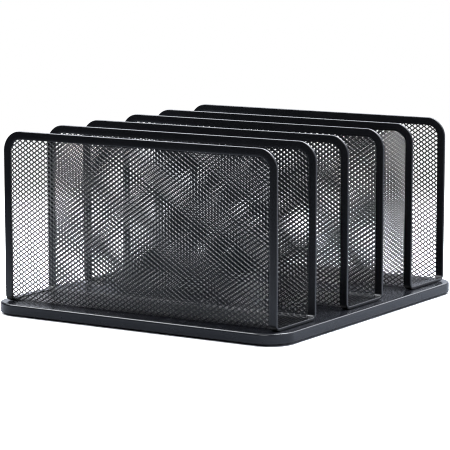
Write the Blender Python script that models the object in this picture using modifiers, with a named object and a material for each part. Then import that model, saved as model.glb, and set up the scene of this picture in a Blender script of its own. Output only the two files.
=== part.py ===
"""Desktop file sorter: three U-shaped mesh channels standing side by side on a shallow steel tray.

Each channel is one sheet, bent up from its floor into a front and a rear wall. One folded steel
strip is closed round the whole edge of that sheet: up the sides, round the upper corners, across
both tops and along the two sides of the floor. The channels give five slots, three inside them
and two between them. The tray is a pressed shell with its skirt turned down, open underneath,
and it stands on four rubber feet.

Axes: X runs along the walls, Y from the front wall to the rear wall, Z is up. The origin is at
the bottom centre of the whole sorter, on the surface that it stands on.
"""

import math

import bmesh
import bpy
from mathutils import Vector

# Driving dimensions, in metres
WALL_WIDTH = 0.300
SORTER_HEIGHT = 0.175
CHANNEL_NAMES = ("front", "middle", "rear")
CHANNEL_DEPTH = 0.0685          # between the middles of a channel's two walls
CHANNEL_GAP = 0.0592            # between the middles of neighbouring channels' facing walls
UPPER_CORNER_RADIUS = 0.019

TRAY_WIDTH = 0.3206
TRAY_DEPTH = 0.3506
TRAY_CORNER_RADIUS = 0.0265
TRAY_EDGE_RADIUS = 0.0020
TRAY_TOP = 0.0118               # height of the tray's upper face
TRAY_METAL = 0.0010

BINDING_WIDTH = 0.0076          # how far the folded strip reaches over the sheet
BINDING_THICKNESS = 0.0028      # across both of its lips
BINDING_METAL = 0.0007
BINDING_EDGE_RADIUS = 0.0012
SHEET_THICKNESS = 0.0008
SHEET_EDGE_INSET = 0.0013       # the sheet's edge lies this far inside the strip's outer edge
FLOOR_BEND_RADIUS = 0.0050      # at the middle of the sheet, where a wall turns into the floor

FOOT_RADIUS = 0.0080
FOOT_EDGE_RADIUS = 0.0010
FOOT_INSET = 0.0240             # from the tray's sides to a foot's axis
FOOT_PROUD = 0.0022             # the feet reach this far below the tray's skirt

TOUCH_GAP = 0.0003              # between pieces that touch

# Values that follow from the dimensions above
CHANNEL_PITCH = CHANNEL_DEPTH + CHANNEL_GAP
CHANNEL_BASE = TRAY_TOP + TOUCH_GAP
SHEET_FLOOR = CHANNEL_BASE + BINDING_THICKNESS / 2
HALF_FLAT_FLOOR = CHANNEL_DEPTH / 2 - FLOOR_BEND_RADIUS
BEND_LENGTH = FLOOR_BEND_RADIUS * math.pi / 2
WALL_FLAT = SORTER_HEIGHT - SHEET_FLOOR - FLOOR_BEND_RADIUS
HALF_BLANK = HALF_FLAT_FLOOR + BEND_LENGTH + WALL_FLAT

# Facets along each round stretch
BEND_STEPS = 5
CORNER_STEPS = 6
TRAY_CORNER_STEPS = 10
STRIP_EDGE_STEPS = 2

# Colours are linear RGB
GLOSS_BLACK = (0.010, 0.010, 0.012)
MESH_BLACK = (0.014, 0.014, 0.016)
TRAY_BLACK = (0.022, 0.023, 0.028)
RUBBER_BLACK = (0.030, 0.030, 0.030)


def clear_scene():
    """Remove the objects of the file that the script is started from."""
    for old in list(bpy.data.objects):
        bpy.data.objects.remove(old, do_unlink=True)


def make_material(name, colour, roughness, metallic):
    """Return a Principled material with one colour, roughness and metallic value."""
    material = bpy.data.materials.new(name)
    material.use_nodes = True
    shader = material.node_tree.nodes["Principled BSDF"]
    shader.inputs["Base Color"].default_value = (*colour, 1.0)
    shader.inputs["Roughness"].default_value = roughness
    shader.inputs["Metallic"].default_value = metallic
    material.diffuse_color = (*colour, 1.0)
    return material


def object_from_bmesh(name, shape, material, collection):
    """Turn a bmesh into a named, smooth-shaded object with its material."""
    mesh = bpy.data.meshes.new(name)
    shape.to_mesh(mesh)
    shape.free()
    mesh.materials.append(material)
    mesh.shade_smooth()
    mesh.set_sharp_from_angle(angle=math.radians(35))
    piece = bpy.data.objects.new(name, mesh)
    collection.objects.link(piece)
    return piece


def add_solidify(piece, thickness, offset):
    """Give an open surface its thickness: offset 0 is both ways, -1 is inwards."""
    wall = piece.modifiers.new("thickness", "SOLIDIFY")
    wall.thickness = thickness
    wall.offset = offset
    wall.use_even_offset = True
    return wall


def fold(along):
    """Bend the flat blank into a channel.

    along is the distance from the middle of the floor over the blank's middle surface. Returns
    the place there, the direction that leads further along, and the direction out of the sheet's
    outer side, each in the channel's own YZ plane.
    """
    side = -1.0 if along < 0 else 1.0
    distance = abs(along)
    if distance <= HALF_FLAT_FLOOR:
        angle = 0.0
        place = Vector((0.0, side * distance, SHEET_FLOOR))
    else:
        angle = min((distance - HALF_FLAT_FLOOR) / FLOOR_BEND_RADIUS, math.pi / 2)
        y = HALF_FLAT_FLOOR + FLOOR_BEND_RADIUS * math.sin(angle)
        z = SHEET_FLOOR + FLOOR_BEND_RADIUS * (1.0 - math.cos(angle))
        z += max(distance - HALF_FLAT_FLOOR - BEND_LENGTH, 0.0)
        place = Vector((0.0, side * y, z))
    forward = Vector((0.0, math.cos(angle), side * math.sin(angle)))
    outward = Vector((0.0, side * math.sin(angle), -math.cos(angle)))
    return place, forward, outward


def bend_stations():
    """Distances along half of the blank, from the middle, at which a bend needs a line."""
    step = BEND_LENGTH / BEND_STEPS
    return [HALF_FLAT_FLOOR + step * number for number in range(BEND_STEPS + 1)]


def blank_outline():
    """The blank's outer edge while it is still flat, as (across, along, inward direction).

    It is a rectangle with rounded corners, walked once round, with extra points on its two long
    sides where they run over the bends.
    """
    outline = []
    centre_across = WALL_WIDTH / 2 - UPPER_CORNER_RADIUS
    centre_along = HALF_BLANK - UPPER_CORNER_RADIUS
    rising = sorted([-place for place in bend_stations()] + bend_stations())
    for quarter, (side_x, side_y) in enumerate(((1, 1), (-1, 1), (-1, -1), (1, -1))):
        for step in range(CORNER_STEPS + 1):
            angle = math.pi / 2 * (quarter + step / CORNER_STEPS)
            out = Vector((math.cos(angle), math.sin(angle)))
            across = side_x * centre_across + UPPER_CORNER_RADIUS * out.x
            along = side_y * centre_along + UPPER_CORNER_RADIUS * out.y
            outline.append((across, along, -out))
        if quarter == 1:
            outline += [(-WALL_WIDTH / 2, place, Vector((1, 0))) for place in reversed(rising)]
        if quarter == 3:
            outline += [(WALL_WIDTH / 2, place, Vector((-1, 0))) for place in rising]
    return outline


def strip_section():
    """Middle line of the folded strip's section, as (inward, outward) from its outer edge.

    Two flat lips, one on each side of the sheet, joined by a half-round edge.
    """
    lip = (BINDING_THICKNESS - BINDING_METAL) / 2
    radius = BINDING_EDGE_RADIUS - BINDING_METAL / 2
    centre_in = BINDING_EDGE_RADIUS
    centre_out = lip - radius
    section = [(BINDING_WIDTH, lip)]
    for sign in (1, -1):
        turns = range(STRIP_EDGE_STEPS + 1)
        for step in turns if sign > 0 else reversed(turns):
            angle = math.pi / 2 * step / STRIP_EDGE_STEPS
            inward = centre_in - radius * math.sin(angle)
            section.append((inward, sign * (centre_out + radius * math.cos(angle))))
    section.append((BINDING_WIDTH, -lip))
    return section


def make_binding(name, centre_y, material, collection):
    """The folded strip: its section carried once round the edge of the bent blank."""
    shape = bmesh.new()
    rings = []
    for across, along, inward in blank_outline():
        place, forward, outward = fold(along)
        place.x = across
        inward_3d = Vector((inward.x, 0, 0)) + inward.y * forward
        ring = [shape.verts.new(place + a * inward_3d + b * outward) for a, b in strip_section()]
        rings.append(ring)
    for ring, following in zip(rings, rings[1:] + rings[:1]):
        for corner in range(len(ring) - 1):
            square = (ring[corner], ring[corner + 1], following[corner + 1], following[corner])
            shape.faces.new(square)
    bmesh.ops.recalc_face_normals(shape, faces=shape.faces)
    piece = object_from_bmesh(name, shape, material, collection)
    piece.location.y = centre_y
    add_solidify(piece, BINDING_METAL, 0.0)
    return piece


def make_sheet(name, centre_y, material, collection):
    """The channel's sheet: a flat blank with rounded corners, bent at two lines and thickened."""
    edge = HALF_BLANK - SHEET_EDGE_INSET
    rows = [-edge] + sorted([-place for place in bend_stations()] + bend_stations()) + [edge]
    half_width = WALL_WIDTH / 2 - SHEET_EDGE_INSET
    shape = bmesh.new()
    bmesh.ops.create_grid(shape, x_segments=1, y_segments=len(rows) - 1, size=1.0)
    for vertex in shape.verts:
        row = round((vertex.co.y + 1.0) / 2.0 * (len(rows) - 1))
        vertex.co = Vector((vertex.co.x * half_width, rows[row], 0.0))
    corners = [vertex for vertex in shape.verts if len(vertex.link_faces) == 1]
    bmesh.ops.bevel(shape, geom=corners, affect="VERTICES", segments=CORNER_STEPS, profile=0.5,
                    offset=UPPER_CORNER_RADIUS - SHEET_EDGE_INSET, clamp_overlap=False)
    for vertex in shape.verts:
        place, _, _ = fold(vertex.co.y)
        vertex.co = Vector((vertex.co.x, place.y, place.z))
    piece = object_from_bmesh(name, shape, material, collection)
    piece.location.y = centre_y
    add_solidify(piece, SHEET_THICKNESS, 0.0)
    return piece


def make_tray(name, material, collection):
    """The tray: a flat top with a skirt turned down all round, with rounded corners and edge."""
    shape = bmesh.new()
    bmesh.ops.create_grid(shape, x_segments=1, y_segments=1, size=0.5)
    bmesh.ops.scale(shape, verts=shape.verts, vec=(TRAY_WIDTH, TRAY_DEPTH, 1.0))
    bmesh.ops.bevel(shape, geom=shape.verts[:], affect="VERTICES", profile=0.5,
                    offset=TRAY_CORNER_RADIUS, segments=TRAY_CORNER_STEPS)
    bmesh.ops.translate(shape, verts=shape.verts, vec=(0.0, 0.0, TRAY_TOP))
    rim = [edge for edge in shape.edges if edge.is_boundary]
    skirt = bmesh.ops.extrude_edge_only(shape, edges=rim)["geom"]
    lowest = [item for item in skirt if isinstance(item, bmesh.types.BMVert)]
    bmesh.ops.translate(shape, verts=lowest, vec=(0.0, 0.0, FOOT_PROUD - TRAY_TOP))
    bmesh.ops.recalc_face_normals(shape, faces=shape.faces)
    if max(shape.faces, key=lambda face: face.calc_area()).normal.z < 0:
        bmesh.ops.reverse_faces(shape, faces=shape.faces)
    piece = object_from_bmesh(name, shape, material, collection)
    edge = piece.modifiers.new("pressed edge", "BEVEL")
    edge.width = TRAY_EDGE_RADIUS
    edge.segments = 4
    edge.limit_method = "ANGLE"
    edge.angle_limit = math.radians(60)
    add_solidify(piece, TRAY_METAL, -1.0)
    return piece


def make_foot(name, centre_x, centre_y, material, collection):
    """A round rubber foot, from just under the tray's top down past its skirt."""
    height = TRAY_TOP - TRAY_METAL - TOUCH_GAP
    shape = bmesh.new()
    bmesh.ops.create_cone(shape, cap_ends=True, segments=24, depth=height,
                          radius1=FOOT_RADIUS, radius2=FOOT_RADIUS)
    bmesh.ops.translate(shape, verts=shape.verts, vec=(0.0, 0.0, height / 2))
    piece = object_from_bmesh(name, shape, material, collection)
    piece.location = (centre_x, centre_y, 0.0)
    edge = piece.modifiers.new("soft rim", "BEVEL")
    edge.width = FOOT_EDGE_RADIUS
    edge.segments = 2
    edge.limit_method = "ANGLE"
    edge.angle_limit = math.radians(60)
    return piece


def build_sorter():
    """Make every piece of the sorter in a collection of its own."""
    collection = bpy.data.collections.new("desktop_file_sorter")
    bpy.context.scene.collection.children.link(collection)

    strip_black = make_material("binding_black", GLOSS_BLACK, 0.28, 0.0)
    mesh_black = make_material("mesh_black", MESH_BLACK, 0.35, 0.0)
    tray_black = make_material("tray_black", TRAY_BLACK, 0.30, 0.0)
    rubber = make_material("foot_rubber", RUBBER_BLACK, 0.80, 0.0)

    make_tray("base_tray", tray_black, collection)
    for number, channel in enumerate(CHANNEL_NAMES):
        centre_y = (number - (len(CHANNEL_NAMES) - 1) / 2) * CHANNEL_PITCH
        make_sheet(channel + "_mesh_channel", centre_y, mesh_black, collection)
        make_binding(channel + "_edge_binding", centre_y, strip_black, collection)

    for end, side_y in (("front", -1), ("rear", 1)):
        for hand, side_x in (("left", -1), ("right", 1)):
            centre_x = side_x * (TRAY_WIDTH / 2 - FOOT_INSET)
            centre_y = side_y * (TRAY_DEPTH / 2 - FOOT_INSET)
            make_foot("foot_" + end + "_" + hand, centre_x, centre_y, rubber, collection)


clear_scene()
build_sorter()
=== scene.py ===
"""Looks of a desktop file sorter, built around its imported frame.

The sorter is three channels of black expanded steel mesh, each edged all round by one folded
steel strip, standing side by side on a shallow pressed tray with four rubber feet. Every piece
is a surface worked out with numpy in metres, in the frame's own axes: X runs along the walls,
Y from the front wall to the rear wall, and Z is up.
"""

from __future__ import annotations

import logging
import math
from collections.abc import Sequence
from dataclasses import dataclass, field
from enum import Enum

import bpy
import numpy as np
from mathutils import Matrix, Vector

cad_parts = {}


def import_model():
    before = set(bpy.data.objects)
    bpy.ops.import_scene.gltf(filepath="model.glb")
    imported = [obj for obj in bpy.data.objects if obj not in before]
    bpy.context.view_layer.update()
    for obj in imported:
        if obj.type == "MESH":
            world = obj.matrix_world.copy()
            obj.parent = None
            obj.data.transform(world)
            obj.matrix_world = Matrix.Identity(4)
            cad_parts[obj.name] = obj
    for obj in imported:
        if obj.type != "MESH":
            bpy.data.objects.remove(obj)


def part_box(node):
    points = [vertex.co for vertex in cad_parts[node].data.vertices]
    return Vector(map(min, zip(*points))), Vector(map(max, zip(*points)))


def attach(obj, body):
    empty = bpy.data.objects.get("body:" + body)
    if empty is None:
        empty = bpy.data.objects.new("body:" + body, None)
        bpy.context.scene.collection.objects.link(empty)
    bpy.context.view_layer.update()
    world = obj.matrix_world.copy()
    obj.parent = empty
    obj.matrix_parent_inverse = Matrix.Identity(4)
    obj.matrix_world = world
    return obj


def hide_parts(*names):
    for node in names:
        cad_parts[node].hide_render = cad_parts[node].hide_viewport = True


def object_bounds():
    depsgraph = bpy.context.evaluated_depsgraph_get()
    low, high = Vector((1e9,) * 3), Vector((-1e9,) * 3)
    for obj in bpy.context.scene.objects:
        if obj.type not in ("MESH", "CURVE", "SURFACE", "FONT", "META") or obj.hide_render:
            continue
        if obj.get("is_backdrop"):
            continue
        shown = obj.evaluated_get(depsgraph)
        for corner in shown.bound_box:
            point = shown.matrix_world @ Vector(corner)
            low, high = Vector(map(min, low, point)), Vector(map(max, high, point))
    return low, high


LOG = logging.getLogger("file_sorter")
MM = 0.001

Colour = tuple[float, float, float]


class Channel(Enum):
    """The three channels, from the front of the sorter to its rear."""

    FRONT = "front"
    MIDDLE = "middle"
    REAR = "rear"


class Corner(Enum):
    """The four feet under the tray."""

    FRONT_LEFT = "front_left"
    FRONT_RIGHT = "front_right"
    REAR_LEFT = "rear_left"
    REAR_RIGHT = "rear_right"


class Slot(Enum):
    """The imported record's material slots."""

    BINDING = "binding_paint"
    MESH = "mesh_paint"
    TRAY = "tray_paint"
    FOOT = "foot_rubber"


# ---------------------------------------------------------------------------------------------
# Surfaces
# ---------------------------------------------------------------------------------------------


@dataclass
class Surface:
    """Points and four-cornered faces of one piece, with flat caps where it has them."""

    points: np.ndarray
    quads: np.ndarray
    caps: list[np.ndarray] = field(default_factory=list)

    def to_object(self, name: str, smooth_below: float = 40.0) -> bpy.types.Object:
        """Put the surface into a new mesh object at the origin.

        Args:
            name: The piece's name.
            smooth_below: Edges flatter than this angle in degrees are shaded smooth. At 0
                every face is shaded flat.

        Returns:
            The new object, linked to the scene.
        """
        sizes = [4] * len(self.quads) + [len(cap) for cap in self.caps]
        corners = np.concatenate([self.quads.ravel(), *self.caps]).astype(np.int32)
        starts = np.concatenate([[0], np.cumsum(sizes)[:-1]]).astype(np.int32)
        mesh = bpy.data.meshes.new(name)
        mesh.vertices.add(len(self.points))
        mesh.vertices.foreach_set("co", self.points.astype(np.float32).ravel())
        mesh.loops.add(len(corners))
        mesh.loops.foreach_set("vertex_index", corners)
        mesh.polygons.add(len(sizes))
        mesh.polygons.foreach_set("loop_start", starts)
        mesh.update(calc_edges=True)
        mesh.validate()
        if smooth_below > 0.0:
            mesh.shade_smooth()
            mesh.set_sharp_from_angle(angle=math.radians(smooth_below))
        else:
            mesh.shade_flat()
        piece = bpy.data.objects.new(name, mesh)
        bpy.context.scene.collection.objects.link(piece)
        return piece


def grid_quads(rows: int, columns: int, close_rows: bool, close_columns: bool) -> np.ndarray:
    """Join a grid of points into quads.

    Point (r, c) has the number r * columns + c. Each quad runs (r, c), (r, c + 1),
    (r + 1, c + 1), (r + 1, c), and a closed direction wraps from its last line to its first.

    Args:
        rows: Number of grid rows.
        columns: Number of grid columns.
        close_rows: Whether the last row joins the first.
        close_columns: Whether the last column joins the first.

    Returns:
        The quads' point numbers, one row of four for each quad.
    """
    row = np.arange(rows if close_rows else rows - 1)[:, None]
    column = np.arange(columns if close_columns else columns - 1)[None, :]
    next_row, next_column = (row + 1) % rows, (column + 1) % columns
    ring = [
        row * columns + column,
        row * columns + next_column,
        next_row * columns + next_column,
        next_row * columns + column,
    ]
    return np.stack(ring, axis=-1).reshape(-1, 4)


def arc(centre: Sequence[float], radius: float, start: float, end: float, steps: int) -> np.ndarray:
    """Points on a circular arc: centre + radius * (cos a, sin a), for a from start to end.

    Args:
        centre: The arc's centre.
        radius: Its radius.
        start: First angle, in degrees.
        end: Last angle, in degrees.
        steps: Number of stretches between the points.

    Returns:
        An array of steps + 1 points.
    """
    angle = np.radians(np.linspace(start, end, steps + 1))
    return np.asarray(centre) + radius * np.stack([np.cos(angle), np.sin(angle)], axis=-1)


def thin_out(points: np.ndarray, closer_than: float = 1e-7) -> np.ndarray:
    """Drop every point of a closed outline that lies on the point before it.

    Args:
        points: The outline's points in order, each row a point and what goes with it.
        closer_than: Two points nearer than this in their first two values are one point.

    Returns:
        The outline without the doubles.
    """
    step = np.linalg.norm((points - np.roll(points, 1, axis=0))[:, :2], axis=1)
    return points[step > closer_than]


# ---------------------------------------------------------------------------------------------
# Finishes
# ---------------------------------------------------------------------------------------------


class NodeBench:
    """A material's node tree, with short calls to add nodes and join them."""

    def __init__(self, name: str, preview: Colour) -> None:
        """Start an empty material.

        Args:
            name: The material's name.
            preview: Its colour in the viewport.
        """
        self.material = bpy.data.materials.new(name)
        self.material.use_nodes = True
        self.material.diffuse_color = (*preview, 1.0)
        self.tree = self.material.node_tree
        self.tree.nodes.clear()
        self.shader = self.add("ShaderNodeBsdfPrincipled")
        output = self.add("ShaderNodeOutputMaterial")
        self.join(self.shader.outputs["BSDF"], output.inputs["Surface"])
        self.place = self.add("ShaderNodeTexCoord").outputs["Object"]

    def add(self, kind: str, **settings: object) -> bpy.types.Node:
        """Add one node and set its properties.

        Args:
            kind: The node's type name.
            **settings: Properties of the node.

        Returns:
            The new node.
        """
        node = self.tree.nodes.new(kind)
        for name, value in settings.items():
            setattr(node, name, value)
        return node

    def join(self, start: bpy.types.NodeSocket, end: bpy.types.NodeSocket) -> None:
        """Link an output socket to an input socket."""
        self.tree.links.new(start, end)

    def noise(self, scale: float, detail: float = 2.0, roughness: float = 0.5) -> bpy.types.NodeSocket:
        """Solid noise on the piece's own place.

        Args:
            scale: Waves per metre.
            detail: Number of finer layers.
            roughness: Strength of each finer layer.

        Returns:
            The noise value, about 0.5 on average.
        """
        node = self.add("ShaderNodeTexNoise")
        node.inputs["Scale"].default_value = scale
        node.inputs["Detail"].default_value = detail
        node.inputs["Roughness"].default_value = roughness
        self.join(self.place, node.inputs["Vector"])
        return node.outputs["Fac"]

    def span(self, value: bpy.types.NodeSocket, source: tuple[float, float],
             target: tuple[float, float]) -> bpy.types.NodeSocket:
        """Carry a value from one range into another, and hold it inside that range.

        Args:
            value: The socket to read.
            source: The range that is spread out.
            target: The range that it becomes.

        Returns:
            The carried value.
        """
        node = self.add("ShaderNodeMapRange", clamp=True)
        self.join(value, node.inputs["Value"])
        node.inputs["From Min"].default_value, node.inputs["From Max"].default_value = source
        node.inputs["To Min"].default_value, node.inputs["To Max"].default_value = target
        return node.outputs["Result"]

    def blend(self, factor: bpy.types.NodeSocket, low: Colour, high: Colour) -> bpy.types.NodeSocket:
        """Mix two colours by a factor.

        Args:
            factor: The socket that gives the share of the second colour.
            low: Colour at factor 0.
            high: Colour at factor 1.

        Returns:
            The mixed colour.
        """
        node = self.add("ShaderNodeMix", data_type="RGBA")
        self.join(factor, node.inputs["Factor"])
        node.inputs["A"].default_value = (*low, 1.0)
        node.inputs["B"].default_value = (*high, 1.0)
        return node.outputs["Result"]

    def relief(self, heights: Sequence[tuple[bpy.types.NodeSocket, float]]) -> None:
        """Give the shader a relief made of several heights, each with its depth in metres."""
        under = None
        for height, depth in heights:
            node = self.add("ShaderNodeBump")
            node.inputs["Strength"].default_value = 1.0
            node.inputs["Distance"].default_value = depth
            self.join(height, node.inputs["Height"])
            if under is not None:
                self.join(under, node.inputs["Normal"])
            under = node.outputs["Normal"]
        if under is not None:
            self.join(under, self.shader.inputs["Normal"])


@dataclass(frozen=True)
class BlackPaint:
    """Baked black paint on steel: even, glossy, with a faint orange-peel relief.

    The tone and the gloss drift slightly over the piece, as a sprayed coat does, and a fine
    grain lies over the broad waves of the relief.
    """

    name: str
    tone: Colour
    deep_tone: Colour
    gloss_roughness: float
    gloss_drift: float
    peel_size: float
    peel_depth: float
    grain_depth: float

    def material(self) -> bpy.types.Material:
        """Build the paint's node material.

        Returns:
            The new material.
        """
        bench = NodeBench(self.name, self.tone)
        drift = bench.noise(scale=14.0, detail=3.0)
        speck = bench.noise(scale=1.0 / (0.8 * MM), detail=2.0, roughness=0.6)
        tone = bench.blend(bench.span(drift, (0.3, 0.7), (0.0, 1.0)), self.deep_tone, self.tone)
        bench.join(tone, bench.shader.inputs["Base Color"])
        low, high = self.gloss_roughness - self.gloss_drift, self.gloss_roughness + self.gloss_drift
        cloud = bench.noise(scale=30.0, detail=4.0, roughness=0.6)
        bench.join(bench.span(cloud, (0.25, 0.75), (low, high)), bench.shader.inputs["Roughness"])
        peel = bench.noise(scale=1.0 / self.peel_size, detail=1.0)
        bench.relief([(peel, self.peel_depth), (speck, self.grain_depth)])
        bench.shader.inputs["IOR"].default_value = 1.5
        return bench.material


@dataclass(frozen=True)
class FootRubber:
    """Soft black rubber with a fine moulded grain and a little dust in it."""

    name: str = "foot_rubber"
    tone: Colour = (0.022, 0.022, 0.023)
    dusty_tone: Colour = (0.050, 0.049, 0.047)

    def material(self) -> bpy.types.Material:
        """Build the rubber's node material.

        Returns:
            The new material.
        """
        bench = NodeBench(self.name, self.tone)
        dust = bench.noise(scale=260.0, detail=4.0, roughness=0.65)
        grain = bench.noise(scale=2600.0, detail=2.0)
        tone = bench.blend(bench.span(dust, (0.5, 0.8), (0.0, 1.0)), self.tone, self.dusty_tone)
        bench.join(tone, bench.shader.inputs["Base Color"])
        bench.join(bench.span(dust, (0.3, 0.7), (0.72, 0.9)), bench.shader.inputs["Roughness"])
        bench.relief([(grain, 0.02 * MM)])
        return bench.material


STRIP_PAINT = BlackPaint(
    name="strip_black_paint", tone=(0.0040, 0.0042, 0.0052),
    deep_tone=(0.0030, 0.0032, 0.0040), gloss_roughness=0.24, gloss_drift=0.04,
    peel_size=2.6 * MM, peel_depth=0.006 * MM, grain_depth=0.0008 * MM,
)
MESH_PAINT = BlackPaint(
    name="mesh_black_paint", tone=(0.0050, 0.0052, 0.0062),
    deep_tone=(0.0036, 0.0038, 0.0046), gloss_roughness=0.33, gloss_drift=0.05,
    peel_size=1.4 * MM, peel_depth=0.004 * MM, grain_depth=0.001 * MM,
)
TRAY_PAINT = BlackPaint(
    name="tray_black_paint", tone=(0.0060, 0.0066, 0.0090),
    deep_tone=(0.0048, 0.0053, 0.0074), gloss_roughness=0.26, gloss_drift=0.04,
    peel_size=3.2 * MM, peel_depth=0.006 * MM, grain_depth=0.0010 * MM,
)
RUBBER = FootRubber()


def finish_piece(piece: bpy.types.Object, material: bpy.types.Material,
                 stands_for: str) -> None:
    """Dress a finished piece, fix it to the frame and report it.

    Args:
        piece: The piece, in place.
        material: Its finish.
        stands_for: The frame node that the piece is shown in place of.
    """
    piece.data.materials.append(material)
    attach(piece, "root")
    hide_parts(stands_for)
    triangles = sum(len(face.vertices) - 2 for face in piece.data.polygons)
    LOG.info("%s: %d triangles, stands for %s", piece.name, triangles, stands_for)


# ---------------------------------------------------------------------------------------------
# Channels
# ---------------------------------------------------------------------------------------------


@dataclass(frozen=True)
class BentBlank:
    """One channel's flat blank and the way it is bent.

    The blank is a rectangle with rounded corners. across is the distance from its middle line
    along X, and along is the distance from the middle of the floor over the blank's middle
    surface: negative towards the front wall's top, positive towards the rear wall's.
    """

    width: float
    centre_y: float
    wall_spacing: float
    floor_height: float
    top: float
    bend_radius: float = 5.0 * MM
    corner_radius: float = 19.0 * MM

    @classmethod
    def from_frame(cls, channel: Channel, strip_thickness: float) -> BentBlank:
        """Read a channel's size and place from its edge strip in the frame.

        Args:
            channel: Which channel.
            strip_thickness: The folded strip's thickness, across the sheet.

        Returns:
            The channel's blank.
        """
        low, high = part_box(f"{channel.value}_edge_binding")
        return cls(
            width=high.x - low.x,
            centre_y=(low.y + high.y) / 2,
            wall_spacing=high.y - low.y - strip_thickness,
            floor_height=low.z + strip_thickness / 2,
            top=high.z,
        )

    @property
    def half_floor(self) -> float:
        """Half the floor's flat length."""
        return self.wall_spacing / 2 - self.bend_radius

    @property
    def bend_length(self) -> float:
        """Length of one bend over the middle surface: a quarter of its circle."""
        return self.bend_radius * math.pi / 2

    @property
    def half_length(self) -> float:
        """Distance from the middle of the floor to a wall's top, over the middle surface."""
        wall = self.top - self.floor_height - self.bend_radius
        return self.half_floor + self.bend_length + wall

    def bend_angle(self, along: np.ndarray) -> np.ndarray:
        """Angle that the blank has turned by: the length past the flat floor over the radius.

        Args:
            along: Distances from the middle of the floor.

        Returns:
            Angles from 0 on the floor to a right angle on the walls.
        """
        return np.clip((np.abs(along) - self.half_floor) / self.bend_radius, 0.0, math.pi / 2)

    def fold(self, across: np.ndarray, along: np.ndarray, off: np.ndarray) -> np.ndarray:
        """Bend points of the flat blank into place.

        On the floor y is the distance along. Round a bend of radius R and angle a, y adds
        R sin a to the half floor and z adds R (1 - cos a). On a wall z adds the length past
        the bend. off is the distance from the middle surface towards the outer side, whose
        direction is (0, sin a, -cos a), and y takes the side's sign.

        Args:
            across: Distances from the middle line along X.
            along: Distances from the middle of the floor.
            off: Distances from the middle surface towards the channel's outside.

        Returns:
            The points' places, in rows of x, y and z.
        """
        side = np.where(along < 0, -1.0, 1.0)
        angle = self.bend_angle(along)
        flat = np.minimum(np.abs(along), self.half_floor)
        rise = np.maximum(np.abs(along) - self.half_floor - self.bend_length, 0.0)
        y = flat + self.bend_radius * np.sin(angle) + off * np.sin(angle)
        z = self.bend_radius * (1.0 - np.cos(angle)) + rise - off * np.cos(angle)
        return np.stack([across, self.centre_y + side * y, self.floor_height + z], axis=-1)

    def outline(self, corner_steps: int = 22, bend_steps: int = 8, runs: int = 5) -> np.ndarray:
        """The flat blank's edge, walked once round.

        The corners are quarter circles. The two long sides have extra points over the bends
        and a few along each straight run.

        Args:
            corner_steps: Stretches in each corner.
            bend_steps: Stretches over each bend.
            runs: Stretches along each wall's straight side.

        Returns:
            Rows of across, along and the two parts of the inward direction.
        """
        half, length, radius = self.width / 2, self.half_length, self.corner_radius
        bend = self.half_floor + np.linspace(0.0, self.bend_length, bend_steps + 1)
        wall = np.linspace(bend[-1], length - radius, runs + 1)[1:-1]
        side = np.concatenate([bend, wall])
        side = np.concatenate([-side[::-1], side])
        stretches = []
        for quarter, (sx, sy) in enumerate(((1, 1), (-1, 1), (-1, -1), (1, -1))):
            centre = (sx * (half - radius), sy * (length - radius))
            points = arc(centre, radius, 90.0 * quarter, 90.0 * (quarter + 1), corner_steps)
            inward = (np.asarray(centre) - points) / radius
            stretches.append(np.hstack([points, inward]))
            if quarter in (1, 3):
                run = side[::-1] if quarter == 1 else side
                flat = np.zeros_like(run)
                stretches.append(np.stack([flat + sx * half, run, flat - sx, flat], axis=-1))
        return thin_out(np.vstack(stretches))


@dataclass(frozen=True)
class Stretch:
    """How far the diamonds of one wall were pulled open, and where they lie on it.

    The pitches are those of the diamonds along and across their rows. row_rise is the rows'
    rise towards +X, and column_lean is the columns' lean towards +X going up, both as slopes.
    One knot lies shift_x right of the wall's middle line and shift_z above mid_height.
    """

    long_way: float
    short_way: float
    row_rise: float
    column_lean: float
    shift_x: float
    shift_z: float
    mid_height: float = 95.0 * MM

    def place(self, blank: BentBlank, i: np.ndarray, up: np.ndarray,
              side: float) -> tuple[np.ndarray, np.ndarray]:
        """Place lattice counts on the wall, and carry on in the same way beyond it.

        x = shift_x + i * long_way / 2 + column_lean * rise, and the height is mid_height +
        shift_z + rise + row_rise * i * long_way / 2, where rise = up * short_way / 2.

        Args:
            blank: The channel's blank.
            i: Counts of half pitches towards +X.
            up: Counts of half pitches upwards.
            side: -1 for the front wall and 1 for the rear wall.

        Returns:
            The distances across and along on the flat blank.
        """
        right, rise = i * self.long_way / 2, up * self.short_way / 2
        height = self.mid_height + self.shift_z + rise + self.row_rise * right
        along = blank.half_floor + blank.bend_length - blank.bend_radius
        along = along + height - blank.floor_height
        return self.shift_x + right + self.column_lean * rise, side * along


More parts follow.
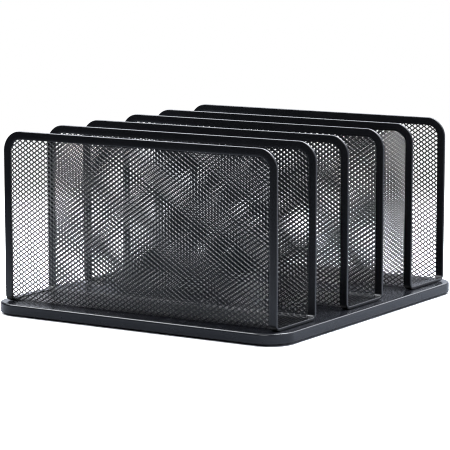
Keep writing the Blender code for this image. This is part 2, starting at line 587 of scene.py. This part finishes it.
@dataclass(frozen=True)
class ExpandedMesh:
    """Expanded steel mesh: a sheet slit in staggered rows and pulled open into diamonds.

    The diamonds of the front wall and of the rear wall have their own stretch. A strand's one
    edge stands off the sheet by lift and its other edge by as much to the other side, which is
    the twist that the pulling leaves. Under the edge strip and over the floor, where the sheet
    is pressed and welded down, most of the twist is gone.

    Holes start covered in from the sheet's edge. The twist is held back as far as grip and
    is let go over the next release, and pressed is the share of it that always stays. Counts
    are laid out for spare_counts more than the sheet needs, and rows_between is the number
    of half pitches from one wall's mid_height to the other's.
    """

    front: Stretch
    rear: Stretch
    rows_between: int
    strand_width: float = 0.90 * MM
    knuckle: float = 0.45 * MM
    metal: float = 0.45 * MM
    lift: float = 0.32 * MM
    pressed: float = 0.2
    covered: float = 4.2 * MM
    grip: float = 7.0 * MM
    release: float = 3.0 * MM
    spare_counts: int = 4

    def place(self, blank: BentBlank, i: np.ndarray, j: np.ndarray) -> np.ndarray:
        """Place lattice counts on the flat blank.

        j grows from the front wall's top to the rear wall's. A count has one place by the
        front wall's stretch and one by the rear wall's, and over the floor the place passes
        from the one to the other by a smooth step.

        Args:
            blank: The channel's blank.
            i: Counts of half pitches along the long way.
            j: Counts of half pitches along the short way.

        Returns:
            Rows of across and along.
        """
        below = 2 * round(self.rows_between / 4)
        above = self.rows_between - below
        front = np.stack(self.front.place(blank, i, -j - below, -1.0), axis=-1)
        rear = np.stack(self.rear.place(blank, i, j - above, 1.0), axis=-1)
        middle = (front[..., 1] + rear[..., 1]) / 2
        share = np.clip(0.5 + middle / (2 * blank.half_floor), 0.0, 1.0)
        share = (share * share * (3.0 - 2.0 * share))[..., None]
        return (1.0 - share) * front + share * rear

    @staticmethod
    def depth_inside(blank: BentBlank, flat: np.ndarray) -> np.ndarray:
        """Distance of flat places from the blank's edge, and at most its corner radius.

        Args:
            blank: The channel's blank.
            flat: Rows of across and along.

        Returns:
            One distance for each row, negative outside the blank.
        """
        radius = blank.corner_radius
        over_x = np.maximum(np.abs(flat[..., 0]) - (blank.width / 2 - radius), 0.0)
        over_y = np.maximum(np.abs(flat[..., 1]) - (blank.half_length - radius), 0.0)
        return radius - np.hypot(over_x, over_y)

    def faces(self, i: np.ndarray, j: np.ndarray) -> np.ndarray:
        """Join the holes' corners into strands and knots, on one face of the metal.

        The corners of hole n are numbered 4 n + (0 left, 1 bottom, 2 right, 3 top). A strand
        lies between two holes that are diagonal neighbours, and a knot between the four holes
        round one lattice point. At the sheet's edge a knot may have three holes only. Its
        fourth corner is then the first again, and the mesh's validation drops such a face,
        so that knot stays open there.

        Args:
            i: The holes' counts along the long way.
            j: The holes' counts along the short way.

        Returns:
            Rows of four corner numbers.
        """
        span = int(max(np.abs(i).max(), np.abs(j).max())) + 3
        index = np.full((2 * span, 2 * span), -1)
        index[i + span, j + span] = np.arange(len(i))

        def hole(step_i: int, step_j: int) -> np.ndarray:
            """Numbers of the holes one step away, or -1."""
            return index[i + step_i + span, j + step_j + span]

        own, low_left, low_right = hole(0, 0), hole(-1, -1), hole(1, -1)
        falling = np.stack([4 * own, 4 * low_left + 3, 4 * low_left + 2, 4 * own + 1], axis=-1)
        rising = np.stack([4 * own + 1, 4 * low_right, 4 * low_right + 3, 4 * own + 2], axis=-1)
        strands = [falling[low_left >= 0], rising[low_right >= 0]]

        knot_i, knot_j = np.meshgrid(np.arange(1, 2 * span - 1), np.arange(1, 2 * span - 1))
        knot_i, knot_j = knot_i.ravel(), knot_j.ravel()
        ring = np.stack([index[knot_i + 1, knot_j], index[knot_i, knot_j + 1],
                         index[knot_i - 1, knot_j], index[knot_i, knot_j - 1]], axis=-1)
        corner = 4 * ring + np.array([0, 1, 2, 3])
        present = (ring >= 0).sum(axis=1)
        knots = [corner[present == 4]]
        for missing in range(4):
            three = corner[(present == 3) & (ring[:, missing] < 0)]
            order = [(missing + step) % 4 for step in (1, 2, 3)]
            knots.append(three[:, order + order[:1]])
        return np.concatenate(strands + knots)

    def build(self, blank: BentBlank) -> Surface:
        """Make the mesh of one channel, bent into shape.

        A hole's left and right corners lie in the middle of the sheet, and its lower and
        upper corners stand off it to either side by twist, so every strand is twisted. The
        metal's thickness leans with it, by arctan(twist / strand_width), which keeps a
        strand's section close to a rectangle. The same faces are made on both faces of the
        metal, and every edge with a face on one side only is closed by a quad across it.

        A hole reaches 1 - strand_width * slant / (long_way * short_way) half pitches up and
        down, where slant is hypot(long_way, short_way), and sideways one knuckle less.

        Args:
            blank: The channel's blank.

        Returns:
            The mesh's surface.
        """
        reach_i = int(blank.width / self.front.long_way) + self.spare_counts
        reach_j = int(2 * blank.half_length / self.front.short_way) + self.spare_counts
        i, j = np.meshgrid(np.arange(-reach_i, reach_i + 1), np.arange(-reach_j, reach_j + 1))
        i, j = i[(i + j) % 2 == 1], j[(i + j) % 2 == 1]
        depth = self.depth_inside(blank, self.place(blank, i, j))
        kept = depth > self.covered
        i, j, depth = i[kept], j[kept], depth[kept]

        stretch = self.front
        slant = math.hypot(stretch.long_way, stretch.short_way)
        opening = 1.0 - self.strand_width * slant / (stretch.long_way * stretch.short_way)
        reach_u = opening - 2 * self.knuckle / stretch.long_way
        step_i, step_j = np.array([-1, 0, 1, 0]), np.array([0, -1, 0, 1])
        flat = self.place(blank, i[:, None] + reach_u * step_i, j[:, None] + opening * step_j)
        free = np.clip((depth - self.grip) / self.release, 0.0, 1.0)
        free *= np.sin(blank.bend_angle(self.place(blank, i, j)[..., 1]))
        twist = self.lift * (self.pressed + (1.0 - self.pressed) * free)
        off = (twist[:, None] * step_j).ravel()
        lean = np.repeat(np.arctan(twist / self.strand_width), 4)
        shift, rise = self.metal / 2 * np.sin(lean), self.metal / 2 * np.cos(lean)
        across, along = flat[..., 0].ravel(), flat[..., 1].ravel()
        inner = blank.fold(across, along - shift, off - rise)
        outer = blank.fold(across, along + shift, off + rise)

        layer = len(across)
        face = self.faces(i, j)
        start, end = face.ravel(), np.roll(face, -1, axis=1).ravel()
        real = start != end
        start, end = start[real], end[real]
        alone = ~np.isin(start * layer + end, end * layer + start)
        a, b = start[alone], end[alone]
        wall = np.stack([b, a, a + layer, b + layer], axis=-1)
        return Surface(np.concatenate([inner, outer]),
                       np.concatenate([face, face[:, ::-1] + layer, wall]))


@dataclass(frozen=True)
class FoldedStrip:
    """The steel strip folded over the sheet's edge, with both of its lips pressed towards it."""

    width: float = 7.6 * MM
    thickness: float = 2.8 * MM
    metal: float = 0.70 * MM
    edge_radius: float = 0.7 * MM
    lip_radius: float = 0.30 * MM
    lip_press: float = 0.12 * MM
    crown: float = 0.03 * MM
    fold_radius: float = 0.45 * MM
    fold_centre: float = 1.15 * MM
    press_share: float = 0.25

    def section(self) -> np.ndarray:
        """The strip's closed section.

        Outside, it is a rounded edge, a nearly flat lip and a rounded lip end. Inside, it
        follows the same line one metal's thickness further in. Each point is the distance in
        from the strip's outer edge and the distance off the sheet. The upper half is written
        down, and the lower half mirrors it. Over the last press_share of its width a lip is
        pressed towards the sheet by lip_press, along a smooth step.

        Returns:
            The section's points in order, round the metal.
        """
        half = self.thickness / 2
        inside = half - self.metal
        end = self.width
        outer_edge = arc((self.edge_radius, half - self.edge_radius), self.edge_radius, 180, 90, 7)
        across = np.linspace(self.edge_radius, end - self.lip_radius, 9)[1:-1]
        bulge = self.crown * np.sin(np.pi * (across - across[0]) / (across[-1] - across[0]))
        face = np.stack([across, half + bulge], axis=-1)
        tip_centre = (end - self.lip_radius, half - self.lip_radius)
        tip = arc(tip_centre, self.lip_radius, 90, 0, 4)
        back_tip = arc((end - self.lip_radius / 2, inside + self.lip_radius / 2),
                       self.lip_radius / 2, 0, -90, 2)
        run = np.linspace(end - 1.0 * MM, self.fold_centre + self.fold_radius, 5)
        back = np.stack([run, np.full_like(run, inside)], axis=-1)
        inner_edge = arc((self.fold_centre, inside - self.fold_radius), self.fold_radius, 90, 180, 3)
        upper = np.vstack([outer_edge, face, tip, back_tip, back, inner_edge])
        share = np.clip((upper[:, 0] / end - 1.0) / self.press_share + 1.0, 0.0, 1.0)
        upper[:, 1] -= self.lip_press * share * share * (3.0 - 2.0 * share)
        lower = upper[::-1] * np.array([1.0, -1.0])
        return np.vstack([upper, lower])

    def build(self, blank: BentBlank) -> Surface:
        """Carry the section once round the edge of the bent blank.

        A point of the section that is w in from the edge and n off the sheet goes to the flat
        place (across, along) + w * inward, and is then folded with off = n.

        Args:
            blank: The channel's blank.

        Returns:
            The strip's surface.
        """
        outline, section = blank.outline(), self.section()
        flat = outline[:, None, :2] + section[None, :, :1] * outline[:, None, 2:]
        off = np.broadcast_to(section[None, :, 1], flat.shape[:2])
        points = blank.fold(flat[..., 0], flat[..., 1], off)
        quads = grid_quads(len(outline), len(section), close_rows=True, close_columns=True)
        return Surface(points.reshape(-1, 3), quads)


FRONT_MESH = ExpandedMesh(
    front=Stretch(long_way=6.65 * MM, short_way=4.38 * MM, row_rise=0.014, column_lean=0.002,
                  shift_x=1.1 * MM, shift_z=-1.3 * MM),
    rear=Stretch(long_way=6.57 * MM, short_way=4.35 * MM, row_rise=0.005, column_lean=-0.044,
                 shift_x=1.2 * MM, shift_z=1.2 * MM),
    rows_between=104,
)
MIDDLE_MESH = ExpandedMesh(
    front=Stretch(long_way=6.50 * MM, short_way=4.37 * MM, row_rise=0.026, column_lean=-0.006,
                  shift_x=0.6 * MM, shift_z=1.8 * MM),
    rear=Stretch(long_way=6.82 * MM, short_way=4.52 * MM, row_rise=0.012, column_lean=-0.016,
                 shift_x=-0.2 * MM, shift_z=-0.7 * MM),
    rows_between=102,
)
REAR_MESH = ExpandedMesh(
    front=Stretch(long_way=6.83 * MM, short_way=4.39 * MM, row_rise=0.017, column_lean=-0.010,
                  shift_x=-0.9 * MM, shift_z=-1.4 * MM),
    rear=Stretch(long_way=6.64 * MM, short_way=4.47 * MM, row_rise=0.002, column_lean=-0.030,
                 shift_x=-0.7 * MM, shift_z=1.1 * MM),
    rows_between=102,
)
MESHES = {Channel.FRONT: FRONT_MESH, Channel.MIDDLE: MIDDLE_MESH, Channel.REAR: REAR_MESH}


@dataclass
class MeshChannel:
    """One channel: its mesh sheet and the strip round its edge."""

    channel: Channel
    mesh: ExpandedMesh
    strip: FoldedStrip = field(default_factory=FoldedStrip)

    def make(self, mesh_paint: bpy.types.Material, strip_paint: bpy.types.Material) -> None:
        """Build both pieces of the channel and dress them.

        Args:
            mesh_paint: Finish of the mesh.
            strip_paint: Finish of the strip.
        """
        blank = BentBlank.from_frame(self.channel, self.strip.thickness)
        name = self.channel.value
        sheet = self.mesh.build(blank).to_object(f"{name}_mesh", smooth_below=0.0)
        finish_piece(sheet, mesh_paint, f"{name}_mesh_channel")
        strip = self.strip.build(blank).to_object(f"{name}_strip", smooth_below=50.0)
        finish_piece(strip, strip_paint, f"{name}_edge_binding")


# ---------------------------------------------------------------------------------------------
# Tray and feet
# ---------------------------------------------------------------------------------------------


@dataclass(frozen=True)
class PressedTray:
    """The shallow tray: one pressed sheet with a flat top and a turned-down skirt."""

    corner_radius: float = 26.5 * MM
    edge_radius: float = 2.0 * MM
    metal: float = 1.0 * MM
    cut_radius: float = 0.35 * MM
    corner_steps: int = 28
    flat_rows: tuple[float, ...] = (24.0 * MM, 12.0 * MM, 5.0 * MM)

    def profile(self, low: float, high: float) -> np.ndarray:
        """The tray's section from the flat top, over its rounded edge, down and back up inside.

        Args:
            low: Height of the skirt's lower edge.
            high: Height of the top.

        Returns:
            Points of the distance in from the tray's outer side and the height.
        """
        edge, metal, cut = self.edge_radius, self.metal, self.cut_radius
        ceiling = high - metal
        top = np.array([[row, high] for row in self.flat_rows])
        over = arc((edge, high - edge), edge, 90, 180, 8)
        skirt = np.array([[0.0, high - 2 * edge], [0.0, low + 2 * cut]])
        lip_out = arc((cut, low + cut), cut, 180, 270, 3)
        lip_in = arc((metal - cut, low + cut), cut, 270, 360, 3)
        inner_wall = np.array([[metal, low + 2 * cut], [metal, high - 2 * edge]])
        under = arc((edge, high - edge), edge - metal, 180, 90, 5)
        back = np.array([[row, ceiling] for row in self.flat_rows[::-1]])
        return np.vstack([top, over, skirt, lip_out, lip_in, inner_wall, under, back])

    def make(self, paint: bpy.types.Material) -> None:
        """Carry the profile round the tray's outline and close its two flat middles.

        The outline is a rectangle with rounded corners. A profile point that is d inside the
        tray's side lies on the outline drawn in by d: the corner's centre stays, and its
        radius is the tray's corner radius less d.

        Args:
            paint: Finish of the tray.
        """
        low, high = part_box("base_tray")
        profile = self.profile(low.z, high.z)
        quarter = np.radians(np.linspace(0.0, 90.0, self.corner_steps + 1))
        turns = np.concatenate([quarter + np.radians(90.0 * number) for number in range(4)])
        signs = np.array([[1, 1], [-1, 1], [-1, -1], [1, -1]]).repeat(len(quarter), axis=0)
        half = np.array([(high.x - low.x) / 2, (high.y - low.y) / 2])
        centre = np.array([(high.x + low.x) / 2, (high.y + low.y) / 2])
        hub = centre + signs * (half - self.corner_radius)
        out = np.stack([np.cos(turns), np.sin(turns)], axis=-1)
        reach = (self.corner_radius - profile[:, 0])[:, None, None]
        flat = hub[None] + reach * out[None]
        height = np.broadcast_to(profile[:, 1][:, None, None], (*flat.shape[:2], 1))
        points = np.concatenate([flat, height], axis=-1)
        rows, columns = points.shape[:2]
        quads = grid_quads(rows, columns, close_rows=False, close_columns=True)[:, ::-1]
        first = np.arange(columns)
        caps = [first, ((rows - 1) * columns + first)[::-1]]
        tray = Surface(points.reshape(-1, 3), quads, caps).to_object("tray", smooth_below=50.0)
        finish_piece(tray, paint, "base_tray")


@dataclass(frozen=True)
class RubberFoot:
    """A round rubber foot with a soft rim and a shallow dish in its sole."""

    corner: Corner
    rim_radius: float = 1.0 * MM
    dish_radius: float = 3.6 * MM
    dish_depth: float = 0.35 * MM
    steps: int = 56
    dish_lip: float = 0.4 * MM

    def make(self, rubber: bpy.types.Material) -> None:
        """Turn the foot's profile about its axis.

        The profile runs from the middle of the sole out over the dish and the rim, up the side
        and in over the top, as (radius, height). Its first and last rings are closed by caps.

        Args:
            rubber: Finish of the foot.
        """
        node = f"foot_{self.corner.value}"
        low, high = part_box(node)
        radius = (high.x - low.x) / 2
        rim = self.rim_radius
        dish = np.array([[0.4 * self.dish_radius, self.dish_depth],
                         [0.8 * self.dish_radius, self.dish_depth],
                         [self.dish_radius, 0.0],
                         [self.dish_radius + self.dish_lip, 0.0]])
        sole = arc((radius - rim, rim), rim, 270, 360, 6)
        height = high.z - low.z
        side = np.array([[radius - 0.1 * MM, height / 2], [radius - 0.25 * MM, height - 0.5 * MM]])
        top = np.array([[radius - 0.6 * MM, height], [radius / 2, height]])
        profile = np.vstack([dish, sole, side, top])
        angle = np.linspace(0.0, 2 * math.pi, self.steps, endpoint=False)
        x = (low.x + high.x) / 2 + profile[:, :1] * np.cos(angle)
        y = (low.y + high.y) / 2 + profile[:, :1] * np.sin(angle)
        z = np.broadcast_to(low.z + profile[:, 1:], x.shape)
        points = np.stack([x, y, z], axis=-1)
        rows, columns = x.shape
        quads = grid_quads(rows, columns, close_rows=False, close_columns=True)
        first = np.arange(columns)
        caps = [first[::-1], (rows - 1) * columns + first]
        name = f"{self.corner.value}_foot"
        foot = Surface(points.reshape(-1, 3), quads, caps).to_object(name, smooth_below=35.0)
        finish_piece(foot, rubber, node)


# ---------------------------------------------------------------------------------------------
# Studio
# ---------------------------------------------------------------------------------------------


@dataclass(frozen=True)
class Softbox:
    """A square soft lamp: where it hangs, the length of its side and its power in watts."""

    name: str
    place: tuple[float, float, float]
    size: float
    power: float


SOFTBOXES = (
    Softbox("front_softbox", (0.28, -1.36, 0.95), 0.75, 10.0),
    Softbox("overhead_softbox", (-0.2, 0.9, 1.7), 3.0, 100.0),
    Softbox("left_softbox", (-1.25, -0.75, 1.65), 1.1, 50.0),
    Softbox("top_softbox", (0.30, 0.65, 1.65), 1.0, 56.0),
)


@dataclass(frozen=True)
class Studio:
    """A floor that is pale to the camera and painted with a dark shade in reflections, a soft white
    surround and a long lens.
    """

    azimuth: float = 32.11
    elevation: float = 8.30
    distance: float = 2.2512
    aim_right: float = -5.1 * MM
    aim_up: float = -11.0 * MM
    lens: float = 185.17
    floor_radius: float = 0.95
    floor_solid: float = 0.30
    floor_tone: Colour = (0.92, 0.92, 0.92)
    # Painted shade: the dark bluish tone the floor shows in reflections and bounced light, in place of
    # its pale tone.
    floor_reflected_shade: Colour = (0.24, 0.255, 0.285)
    backdrop: Colour = (0.86, 0.91, 1.06)
    dark_share: float = 0.04
    unlit_side: tuple[float, float, float] = (-0.53, -0.85, 0.0)
    fade_from: float = -0.35
    fade_to: float = 0.45
    lamp_tint: Colour = (0.93, 0.96, 1.0)

    def add_camera(self, centre: Vector) -> None:
        """Stand the camera at its azimuth and elevation, aimed close to the object's middle.

        Args:
            centre: The middle of the object's box.
        """
        a, e = math.radians(self.azimuth), math.radians(self.elevation)
        back = Vector((math.sin(a) * math.cos(e), -math.cos(a) * math.cos(e), math.sin(e)))
        right = Vector((math.cos(a), math.sin(a), 0.0))
        up = back.cross(right)
        aim = centre + right * self.aim_right + up * self.aim_up
        data = bpy.data.cameras.new("studio_camera")
        data.sensor_width = 36.0
        data.lens = self.lens
        data.clip_start, data.clip_end = 0.05, 60.0
        camera = bpy.data.objects.new("studio_camera", data)
        camera.location = aim + back * self.distance
        camera.rotation_mode = "QUATERNION"
        camera.rotation_quaternion = (-back).to_track_quat("-Z", "Y")
        bpy.context.scene.collection.objects.link(camera)
        bpy.context.scene.camera = camera

    def add_floor(self) -> None:
        """Lay the floor: a disc that thins out towards its edge, pale to the camera and painted with a
        dark bluish shade in reflections and bounced light.
        """
        angle = np.linspace(0.0, 2 * math.pi, 96, endpoint=False)
        x, y = self.floor_radius * np.cos(angle), self.floor_radius * np.sin(angle)
        points = np.stack([x, y, np.zeros_like(x)], axis=-1)
        floor = Surface(points, np.zeros((0, 4), int), [np.arange(len(points))])
        paper = floor.to_object("floor")
        bench = NodeBench("floor_paper", self.floor_tone)
        fibre = bench.noise(scale=180.0, detail=5.0, roughness=0.6)
        shade = tuple(0.985 * part for part in self.floor_tone)
        seen = bench.blend(fibre, shade, self.floor_tone)
        path = bench.add("ShaderNodeLightPath")
        # Painted shade: every ray but the camera's sees the floor in the dark bluish tone, so the
        # black paint reflects a darkened floor.
        tone = bench.blend(path.outputs["Is Camera Ray"], self.floor_reflected_shade, self.floor_tone)
        bench.join(seen, tone.node.inputs["B"])
        bench.join(tone, bench.shader.inputs["Base Color"])
        bench.shader.inputs["Roughness"].default_value = 0.9
        bench.shader.inputs["Specular IOR Level"].default_value = 0.1
        reach = bench.add("ShaderNodeVectorMath", operation="LENGTH")
        bench.join(bench.place, reach.inputs[0])
        fade = bench.span(reach.outputs["Value"], (self.floor_solid, self.floor_radius), (1.0, 0.0))
        bench.join(fade, bench.shader.inputs["Alpha"])
        paper.data.materials.append(bench.material)
        paper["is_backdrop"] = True

    def add_surround(self) -> None:
        """Surround the scene with a pale glow that fades towards the front left.

        The glow's strength is a smooth step of the direction's dot product with unlit_side:
        1 up to fade_from, and dark_share from fade_to on. To the camera the surround is
        plain white.
        """
        world = bpy.data.worlds.new("studio_surround")
        bpy.context.scene.world = world
        world.use_nodes = True
        nodes, links = world.node_tree.nodes, world.node_tree.links
        nodes.clear()
        direction = nodes.new("ShaderNodeTexCoord").outputs["Generated"]
        dot = nodes.new("ShaderNodeVectorMath")
        dot.operation = "DOT_PRODUCT"
        links.new(direction, dot.inputs[0])
        dot.inputs[1].default_value = self.unlit_side
        share = nodes.new("ShaderNodeMapRange")
        share.interpolation_type = "SMOOTHSTEP"
        links.new(dot.outputs["Value"], share.inputs["Value"])
        share.inputs["From Min"].default_value = self.fade_from
        share.inputs["From Max"].default_value = self.fade_to
        share.inputs["To Min"].default_value = 1.0
        share.inputs["To Max"].default_value = self.dark_share
        glow = nodes.new("ShaderNodeBackground")
        glow.inputs["Color"].default_value = (*self.backdrop, 1.0)
        links.new(share.outputs["Result"], glow.inputs["Strength"])
        plain = nodes.new("ShaderNodeBackground")
        plain.inputs["Color"].default_value = (1.0, 1.0, 1.0, 1.0)
        path = nodes.new("ShaderNodeLightPath")
        mix = nodes.new("ShaderNodeMixShader")
        links.new(path.outputs["Is Camera Ray"], mix.inputs["Fac"])
        links.new(glow.outputs["Background"], mix.inputs[1])
        links.new(plain.outputs["Background"], mix.inputs[2])
        output = nodes.new("ShaderNodeOutputWorld")
        links.new(mix.outputs["Shader"], output.inputs["Surface"])

    def add_softbox(self, box: Softbox) -> None:
        """Hang a square soft lamp that points at the origin.

        Args:
            box: The lamp's name, place, size and power.
        """
        data = bpy.data.lights.new(box.name, "AREA")
        data.shape = "SQUARE"
        data.size = box.size
        data.energy = box.power
        data.color = self.lamp_tint
        lamp = bpy.data.objects.new(box.name, data)
        lamp.location = box.place
        lamp.rotation_mode = "QUATERNION"
        lamp.rotation_quaternion = (-Vector(box.place)).to_track_quat("-Z", "Y")
        lamp.visible_camera = False
        bpy.context.scene.collection.objects.link(lamp)

    def build(self, centre: Vector) -> None:
        """Set up the camera, the floor and the lights.

        Args:
            centre: The middle of the object's box.
        """
        self.add_camera(centre)
        self.add_floor()
        self.add_surround()
        for box in SOFTBOXES:
            self.add_softbox(box)
        view = bpy.context.scene.view_settings
        view.view_transform = "Standard"
        view.look = "None"
        bpy.context.scene.cycles.filter_width = 1.0


def main() -> None:
    """Load the frame, build every piece of the sorter around it and light it."""
    logging.basicConfig(level=logging.INFO, format="%(message)s")
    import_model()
    frame_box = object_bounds()
    mesh_paint, strip_paint = MESH_PAINT.material(), STRIP_PAINT.material()
    PressedTray().make(TRAY_PAINT.material())
    for channel in Channel:
        MeshChannel(channel, MESHES[channel]).make(mesh_paint, strip_paint)
    rubber = RUBBER.material()
    for corner in Corner:
        RubberFoot(corner).make(rubber)
    Studio().build((frame_box[0] + frame_box[1]) / 2)


if __name__ == "__main__":
    main()
